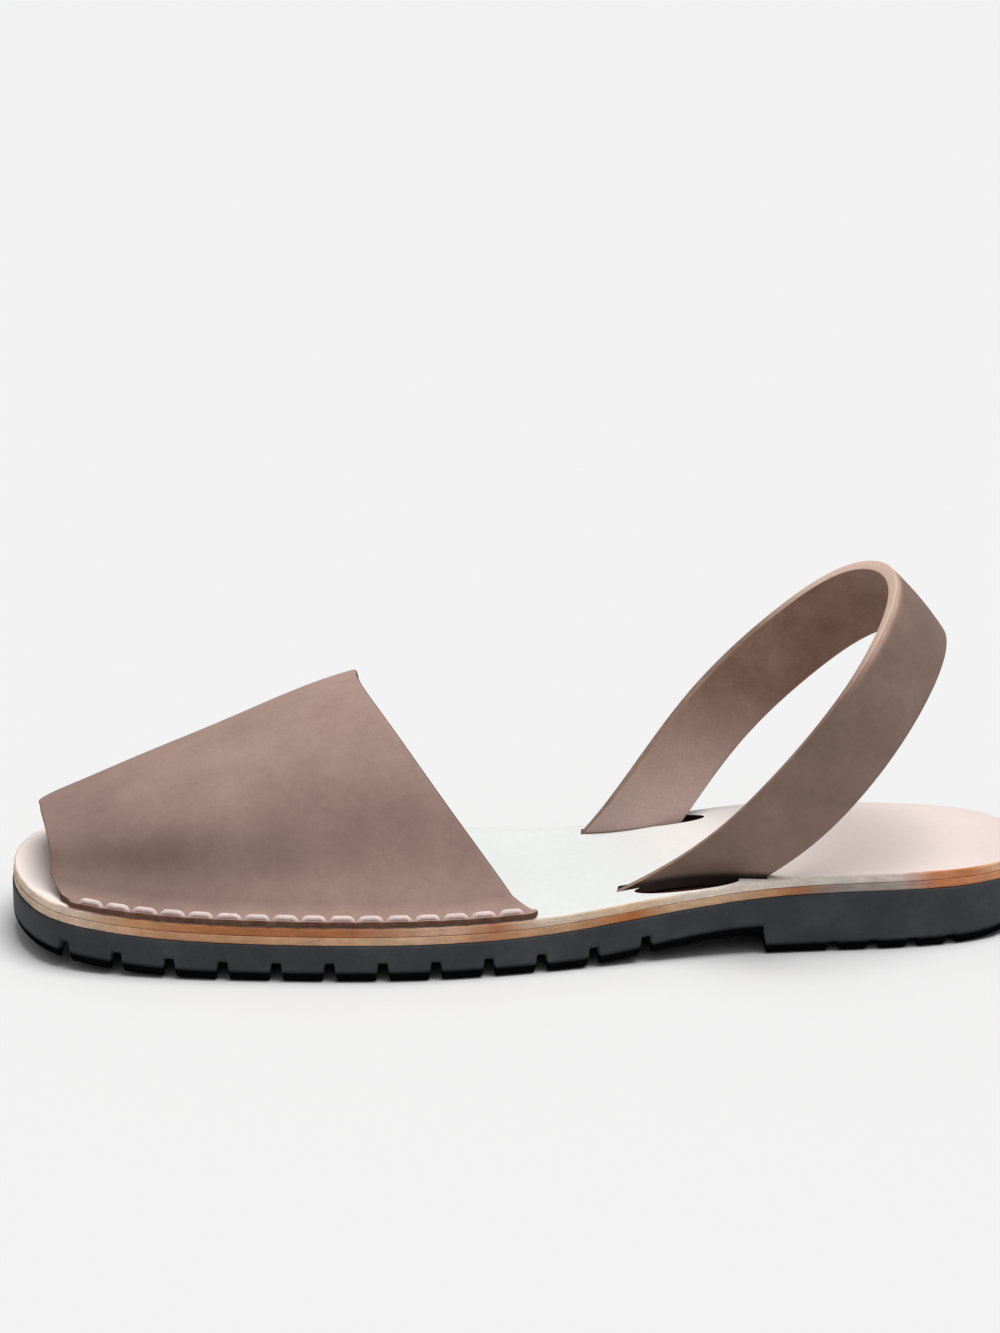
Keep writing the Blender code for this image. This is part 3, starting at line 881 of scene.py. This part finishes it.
# Painted light that the cream insole throws on the flesh side, low down
SUEDE_BOUNCE_LIGHT_COLOUR = tint(196, 170, 161)
STRAP_CUT_COLOURS = [(0.25, tint(136, 108, 95)), (0.55, tint(154, 126, 112)), (0.80, tint(172, 145, 131))]
STRAP_TURN_COLOUR = tint(226, 196, 178)
VAMP_CUT_COLOURS = [(0.25, tint(82, 52, 40)), (0.55, tint(104, 72, 58)), (0.80, tint(124, 92, 78))]
# Painted shade inside the strap's slots, on the insole's cut faces and the midsole's faces seen through them
SLOT_SHADE_COLOURS = [(0.30, tint(50, 24, 18)), (0.70, tint(76, 42, 32))]
THREAD_COLOURS = [(0.30, tint(214, 192, 186)), (0.70, tint(234, 216, 211))]
RUBBER_COLOURS = [(0.30, tint(52, 54, 58)), (0.52, tint(60, 62, 66)), (0.76, tint(72, 74, 78))]
# Painted shade at the rubber's foot
RUBBER_FOOT_SHADE_COLOUR = tint(12, 12, 13)

# Colours from the toe to the heel, by the share of the way
# The insole's face, a little pinker at the heel, with painted light at the toe, in the vamp's shade, and
# before the heel, in the strap's shadow
INSOLE_COLOURS_AND_PAINTED_LIGHT = [
    (0.00, tint(250, 236, 230)),
    (0.10, tint(250, 240, 235)),
    (0.30, tint(232, 236, 233)),
    (0.60, tint(231, 233, 230)),
    (0.80, tint(247, 232, 227)),
    (1.00, tint(232, 214, 208)),
]
INSOLE_EDGE_COLOURS = [
    (0.00, tint(232, 208, 186)),
    (0.06, tint(238, 214, 194)),
    (0.12, tint(210, 156, 114)),
    (0.20, tint(188, 120, 78)),
    (0.33, tint(186, 118, 76)),
    (0.42, tint(222, 180, 154)),
    (0.47, tint(190, 128, 88)),
    (0.52, tint(238, 218, 196)),
    (0.60, tint(228, 194, 160)),
    (0.66, tint(240, 226, 210)),
    (0.74, tint(242, 228, 213)),
    (0.80, tint(232, 220, 212)),
    (0.86, tint(230, 212, 204)),
    (0.89, tint(212, 146, 104)),
    (0.93, tint(214, 136, 90)),
    (0.96, tint(228, 182, 148)),
    (1.00, tint(222, 172, 138)),
]
MIDSOLE_EDGE_COLOURS = [
    (0.00, tint(222, 192, 166)),
    (0.07, tint(228, 198, 172)),
    (0.14, tint(208, 156, 118)),
    (0.25, tint(210, 160, 122)),
    (0.40, tint(224, 186, 154)),
    (0.46, tint(198, 142, 102)),
    (0.53, tint(214, 170, 132)),
    (0.60, tint(190, 116, 66)),
    (0.64, tint(222, 182, 146)),
    (0.70, tint(216, 178, 142)),
    (0.76, tint(188, 126, 84)),
    (0.80, tint(170, 156, 150)),
    (0.86, tint(178, 164, 156)),
    (0.90, tint(208, 130, 84)),
    (0.95, tint(216, 150, 108)),
    (1.00, tint(210, 150, 112)),
]

# Heights between which colours, painted light and painted shade change, in millimetres over the floor
SUEDE_BOUNCE_LIGHT_FADE = (18.0, 50.0)
STRAP_TURN = (66.0, 80.0)
STRAP_LIGHT_AND_SHADE_FADE = (30.0, 75.0)

# Painted light and shade on the strap's outside: painted light low down, painted shade at its turn and in the
# slots, and a painted highlight by its front edge at the turn
STRAP_LOW_PAINTED_LIGHT = 0.06
STRAP_HIGH_PAINTED_SHADE = -0.20
STRAP_SLOT_SHADE = 0.16
STRAP_SLOT_SHADE_RISE = (0.6, 2.2)
STRAP_EDGE_HIGHLIGHT = 1.1
STRAP_EDGE_HIGHLIGHT_BAND = (-0.11, -0.04)

# Looks of the surfaces: sizes in millimetres, and how far they are drawn out along the frame's axes
EVEN = (1.0, 1.0, 1.0)
Patches = namedtuple("Patches", "size detail")
Mottle = namedtuple("Mottle", "size detail low high stretch", defaults=[EVEN])
Relief = namedtuple("Relief", "size detail strength depth stretch", defaults=[EVEN])
Sheen = namedtuple("Sheen", "weight roughness")
Finish = namedtuple("Finish", "roughness specular patches mottles reliefs")

NUBUCK_FINISH = Finish(
    0.86, 0.2, Patches(16.0, 3.0),
    [Mottle(1.5, 4.0, 0.93, 1.06), Mottle(0.3, 2.0, 0.94, 1.05)],
    [Relief(5.0, 3.0, 0.25, 0.3), Relief(0.35, 3.0, 0.35, 0.12)])
NUBUCK_SHEEN = Sheen(0.12, 0.5)
NUBUCK_SHEEN_TINT = tint(225, 205, 195)
SUEDE_FINISH = Finish(
    0.92, 0.15, Patches(9.0, 4.0),
    [Mottle(0.6, 4.0, 0.88, 1.08)],
    [Relief(0.8, 4.0, 0.5, 0.25)])
SUEDE_SHEEN = Sheen(0.15, 0.6)
CUT_EDGE_FINISH = Finish(
    0.85, 0.2, Patches(2.5, 4.0),
    [Mottle(0.4, 3.0, 0.88, 1.08)],
    [Relief(0.5, 3.0, 0.5, 0.2)])
RAW_EDGE_FINISH = Finish(
    0.8, 0.2, None,
    [Mottle(6.0, 3.0, 0.82, 1.12), Mottle(1.0, 4.0, 0.80, 1.12, (0.25, 0.25, 1.6)),
     Mottle(0.4, 3.0, 0.9, 1.06)],
    [Relief(0.6, 4.0, 0.6, 0.25, (0.3, 0.3, 1.6))])
INSOLE_FINISH = Finish(
    0.5, 0.35, None,
    [Mottle(22.0, 4.0, 0.97, 1.02), Mottle(1.2, 4.0, 0.97, 1.02)],
    [Relief(6.0, 3.0, 0.2, 0.25)])
PORE_SIZE = 0.9
PORE_STRENGTH = 0.2
PORE_DEPTH = 0.1
RUBBER_FINISH = Finish(
    0.68, 0.25, Patches(12.0, 5.0),
    [Mottle(0.8, 3.0, 0.9, 1.08)],
    [Relief(2.5, 3.0, 0.25, 0.25), Relief(0.5, 2.0, 0.3, 0.12)])
THREAD_FINISH = Finish(
    0.55, 0.35, Patches(2.0, 3.0),
    [],
    [Relief(0.25, 2.0, 0.4, 0.1, (0.3, 1.0, 1.0))])
CLOUD_ROUGHNESS = 0.6
TINT_START = 0.25
TINT_END = 0.75

# Sockets of the mix node that carry colours
MIX_FIRST = 6
MIX_SECOND = 7
MIX_RESULT = 2


def new_material(name, finish):
    material = bpy.data.materials.new(name)
    material.use_nodes = True
    shader = material.node_tree.nodes["Principled BSDF"]
    shader.inputs["Roughness"].default_value = finish.roughness
    shader.inputs["Specular IOR Level"].default_value = finish.specular
    return material, material.node_tree, shader


def add_sheen(shader, sheen):
    shader.inputs["Sheen Weight"].default_value = sheen.weight
    shader.inputs["Sheen Roughness"].default_value = sheen.roughness


def add_node(tree, kind, **settings):
    """A new node, with settings whose names are its properties or, in lower case, its sockets."""
    node = tree.nodes.new(kind)
    sockets = {socket.name.lower().replace(" ", "_"): socket for socket in reversed(node.inputs)}
    for name, value in settings.items():
        if name in sockets:
            sockets[name].default_value = value
        else:
            setattr(node, name, value)
    return node


def stretched_coordinates(tree, stretch=EVEN):
    """The piece's own coordinates in metres, drawn out along some axes."""
    where = add_node(tree, "ShaderNodeTexCoord")
    mapping = add_node(tree, "ShaderNodeMapping", scale=stretch)
    tree.links.new(where.outputs["Object"], mapping.inputs["Vector"])
    return mapping.outputs["Vector"]


def cloud(tree, size, detail, stretch=EVEN):
    """A noise whose lumps are about the given size in millimetres."""
    field = add_node(tree, "ShaderNodeTexNoise", scale=1 / (size * MM), detail=detail,
                     roughness=CLOUD_ROUGHNESS)
    tree.links.new(stretched_coordinates(tree, stretch), field.inputs["Vector"])
    return field.outputs["Fac"]


def ramp(tree, factor, stops):
    """Colours along a factor, from a table of positions and colours."""
    node = add_node(tree, "ShaderNodeValToRGB")
    elements = node.color_ramp.elements
    while len(elements) < len(stops):
        elements.new(0.5)
    for element, (position, colour) in zip(elements, stops):
        element.position = position
        element.color = colour
    tree.links.new(factor, node.inputs["Fac"])
    return node.outputs["Color"]


def multiplied(tree, colour, grey):
    """The product of two colours."""
    node = add_node(tree, "ShaderNodeMix", data_type="RGBA", blend_type="MULTIPLY", clamp_result=False)
    node.inputs["Factor"].default_value = 1.0
    tree.links.new(colour, node.inputs[MIX_FIRST])
    tree.links.new(grey, node.inputs[MIX_SECOND])
    return node.outputs[MIX_RESULT]


def blend(tree, factor, first, second):
    """Goes from the first colour to the second by a factor; a colour is a value or a socket."""
    node = add_node(tree, "ShaderNodeMix", data_type="RGBA")
    tree.links.new(factor, node.inputs["Factor"])
    for colour, socket in ((first, node.inputs[MIX_FIRST]), (second, node.inputs[MIX_SECOND])):
        if isinstance(colour, tuple):
            socket.default_value = colour
        else:
            tree.links.new(colour, socket)
    return node.outputs[MIX_RESULT]


def patched(tree, finish, colours):
    """Cloudy patches of the colours."""
    return ramp(tree, cloud(tree, finish.patches.size, finish.patches.detail), colours)


def along_sole(tree, colours):
    """The colours in their order from the toe to the heel."""
    return ramp(tree, share_between(tree, "X", -LENGTH / 2, LENGTH / 2), colours)


def mottled(tree, finish, colour):
    """The colour made darker and lighter by the finish's mottling."""
    for row in finish.mottles:
        low = (row.low, row.low, row.low, 1.0)
        high = (row.high, row.high, row.high, 1.0)
        field = cloud(tree, row.size, row.detail, row.stretch)
        colour = multiplied(tree, colour, ramp(tree, field, [(TINT_START, low), (TINT_END, high)]))
    return colour


def share_between(tree, axis, start, end):
    """How far a point lies from start to end along one axis of the frame, in millimetres."""
    split = add_node(tree, "ShaderNodeSeparateXYZ")
    tree.links.new(stretched_coordinates(tree), split.inputs["Vector"])
    node = add_node(tree, "ShaderNodeMapRange", from_min=start * MM, from_max=end * MM)
    tree.links.new(split.outputs[axis], node.inputs["Value"])
    return node.outputs["Result"]


def relief_layers(tree, finish):
    """Rows of height, strength and depth in millimetres of the finish's relief."""
    layers = []
    for row in finish.reliefs:
        height = cloud(tree, row.size, row.detail, row.stretch)
        layers.append((height, row.strength, row.depth))
    return layers


def bumps(tree, shader, layers):
    """Stacks relief on a shader, from rows of height, strength and depth in millimetres."""
    normal = None
    for height, strength, depth in layers:
        node = add_node(tree, "ShaderNodeBump", strength=strength, distance=depth * MM)
        tree.links.new(height, node.inputs["Height"])
        if normal is not None:
            tree.links.new(normal, node.inputs["Normal"])
        normal = node.outputs["Normal"]
    tree.links.new(normal, shader.inputs["Normal"])


def nubuck_material(name, colours):
    """Taupe nubuck: cloudy colour, a fine nap, a soft sheen and the painted light and shade that the piece
    carries.
    """
    material, tree, shader = new_material(name, NUBUCK_FINISH)
    colour = mottled(tree, NUBUCK_FINISH, patched(tree, NUBUCK_FINISH, colours))
    # The piece's painted light and shade multiply its colour
    tone = add_node(tree, "ShaderNodeAttribute", attribute_name="tone")
    colour = multiplied(tree, colour, tone.outputs["Color"])
    tree.links.new(colour, shader.inputs["Base Color"])
    add_sheen(shader, NUBUCK_SHEEN)
    shader.inputs["Sheen Tint"].default_value = NUBUCK_SHEEN_TINT
    bumps(tree, shader, relief_layers(tree, NUBUCK_FINISH))
    return material


def suede_material(name):
    """The flesh side of the leather: warm brown, fibrous and dull, paler low down with painted light from the
    insole.
    """
    material, tree, shader = new_material(name, SUEDE_FINISH)
    colour = patched(tree, SUEDE_FINISH, SUEDE_COLOURS)
    colour = blend(tree, share_between(tree, "Z", *SUEDE_BOUNCE_LIGHT_FADE), SUEDE_BOUNCE_LIGHT_COLOUR, colour)
    tree.links.new(mottled(tree, SUEDE_FINISH, colour), shader.inputs["Base Color"])
    add_sheen(shader, SUEDE_SHEEN)
    bumps(tree, shader, relief_layers(tree, SUEDE_FINISH))
    return material


def cut_edge_material(name, colours, turn_colour=None):
    """A cut leather edge, with fine fibres, and a lighter colour high up at the heel's turn if one is given;
    with the slots' colours it paints the shade inside the slots.
    """
    material, tree, shader = new_material(name, CUT_EDGE_FINISH)
    colour = patched(tree, CUT_EDGE_FINISH, colours)
    if turn_colour:
        colour = blend(tree, share_between(tree, "Z", *STRAP_TURN), colour, turn_colour)
    tree.links.new(mottled(tree, CUT_EDGE_FINISH, colour), shader.inputs["Base Color"])
    bumps(tree, shader, relief_layers(tree, CUT_EDGE_FINISH))
    return material


def raw_leather_material(name, colours):
    """The raw edge of a sole layer: patches of tan, orange brown and cream, with fibres along the cut."""
    material, tree, shader = new_material(name, RAW_EDGE_FINISH)
    colour = mottled(tree, RAW_EDGE_FINISH, along_sole(tree, colours))
    tree.links.new(colour, shader.inputs["Base Color"])
    bumps(tree, shader, relief_layers(tree, RAW_EDGE_FINISH))
    return material


def insole_material():
    """Smooth cream leather, a little pinker at the heel, with painted light at the toe and before the heel,
    fine pores and a satin face.
    """
    material, tree, shader = new_material("insole_face", INSOLE_FINISH)
    colour = mottled(tree, INSOLE_FINISH, along_sole(tree, INSOLE_COLOURS_AND_PAINTED_LIGHT))
    tree.links.new(colour, shader.inputs["Base Color"])
    pores = add_node(tree, "ShaderNodeTexVoronoi", scale=1 / (PORE_SIZE * MM))
    tree.links.new(stretched_coordinates(tree), pores.inputs["Vector"])
    fine = (pores.outputs["Distance"], PORE_STRENGTH, PORE_DEPTH)
    bumps(tree, shader, relief_layers(tree, INSOLE_FINISH) + [fine])
    return material


def rubber_material():
    """Matt charcoal rubber, faintly mottled, with a stippled skin, and painted shade at its foot, where it is
    darker and duller.
    """
    material, tree, shader = new_material("rubber", RUBBER_FINISH)
    colour = mottled(tree, RUBBER_FINISH, patched(tree, RUBBER_FINISH, RUBBER_COLOURS))
    rise = add_node(tree, "ShaderNodeAttribute", attribute_name="rise")
    # Painted shade: near black and without gloss low on the foot
    low, high = RUBBER_FOOT_SHADE_RISE
    foot = add_node(tree, "ShaderNodeMapRange", from_min=low, from_max=high)
    tree.links.new(rise.outputs["Fac"], foot.inputs["Value"])
    colour = blend(tree, foot.outputs["Result"], RUBBER_FOOT_SHADE_COLOUR, colour)
    tree.links.new(colour, shader.inputs["Base Color"])
    gloss = add_node(tree, "ShaderNodeMapRange", from_min=low, from_max=high,
                     to_min=0.0, to_max=RUBBER_FINISH.specular)
    tree.links.new(rise.outputs["Fac"], gloss.inputs["Value"])
    tree.links.new(gloss.outputs["Result"], shader.inputs["Specular IOR Level"])
    bumps(tree, shader, relief_layers(tree, RUBBER_FINISH))
    return material


def thread_material():
    """Waxed off-white thread."""
    material, tree, shader = new_material("thread", THREAD_FINISH)
    colour = patched(tree, THREAD_FINISH, THREAD_COLOURS)
    tree.links.new(colour, shader.inputs["Base Color"])
    bumps(tree, shader, relief_layers(tree, THREAD_FINISH))
    return material



# Studio and camera

FLOOR_SIZE = 8.0
FLOOR_GREY = 0.76
FLOOR_FINISH = Finish(0.95, 0.05, None, [], [])
DOME_STRENGTH = 0.44
HORIZON_STRENGTH = 0.06
DOME_FULL_RISE = 0.7
KEY_STRENGTH = 2.58
KEY_SOFTNESS = 42.0
KEY_DIRECTION = Vector((-0.22, 0.06, -1.0))
IMAGE_HEIGHT = 1333
FOCAL_PIXELS = 4000.0
SENSOR = 36.0
CAMERA_SWING = 2.5
CAMERA_RISE = 16.3
CAMERA_DISTANCE = 1000.0
CAMERA_TARGET = (-5.5, 1.17, 66.0)


def make_floor():
    mesh = bpy.data.meshes.new("floor")
    shape = bmesh.new()
    bmesh.ops.create_grid(shape, x_segments=1, y_segments=1, size=FLOOR_SIZE / 2)
    shape.to_mesh(mesh)
    shape.free()
    material, tree, shader = new_material("floor", FLOOR_FINISH)
    shader.inputs["Base Color"].default_value = (FLOOR_GREY, FLOOR_GREY, FLOOR_GREY, 1.0)
    mesh.materials.append(material)
    floor = bpy.data.objects.new("floor", mesh)
    bpy.context.scene.collection.objects.link(floor)


def make_lights():
    world = bpy.data.worlds.new("studio")
    world.use_nodes = True
    tree = world.node_tree
    sky = tree.nodes["Background"]
    sky.inputs["Color"].default_value = (1.0, 1.0, 1.0, 1.0)
    where = add_node(tree, "ShaderNodeTexCoord")
    split = add_node(tree, "ShaderNodeSeparateXYZ")
    tree.links.new(where.outputs["Generated"], split.inputs["Vector"])
    fade = add_node(tree, "ShaderNodeMapRange", from_min=0.0, from_max=DOME_FULL_RISE,
                    to_min=HORIZON_STRENGTH, to_max=DOME_STRENGTH)
    tree.links.new(split.outputs["Z"], fade.inputs["Value"])
    tree.links.new(fade.outputs["Result"], sky.inputs["Strength"])
    bpy.context.scene.world = world
    key = bpy.data.lights.new("key", "SUN")
    key.energy = KEY_STRENGTH
    key.angle = math.radians(KEY_SOFTNESS)
    lamp = bpy.data.objects.new("key", key)
    lamp.rotation_euler = KEY_DIRECTION.to_track_quat("-Z", "Y").to_euler()
    bpy.context.scene.collection.objects.link(lamp)


def make_camera():
    """The photograph's view: from the lateral side, a little towards the toe and from above."""
    swing = math.radians(CAMERA_SWING)
    rise = math.radians(CAMERA_RISE)
    away = Vector((-math.sin(swing) * math.cos(rise), -math.cos(swing) * math.cos(rise), math.sin(rise)))
    lens = bpy.data.cameras.new("camera")
    lens.sensor_width = SENSOR
    lens.lens = FOCAL_PIXELS * SENSOR / IMAGE_HEIGHT
    camera = bpy.data.objects.new("camera", lens)
    camera.location = (Vector(CAMERA_TARGET) + away * CAMERA_DISTANCE) * MM
    camera.rotation_euler = (-away).to_track_quat("-Z", "Y").to_euler()
    bpy.context.scene.collection.objects.link(camera)
    bpy.context.scene.camera = camera


def main():
    make_camera()
    make_lights()
    make_floor()
    make_outsole()
    make_midsole()
    make_insole()
    make_vamp()
    make_heel_strap()
    thread = thread_material()
    for side in ("lateral", "medial"):
        make_stitches(side, thread)
    bpy.context.scene.view_settings.view_transform = "Standard"


main()
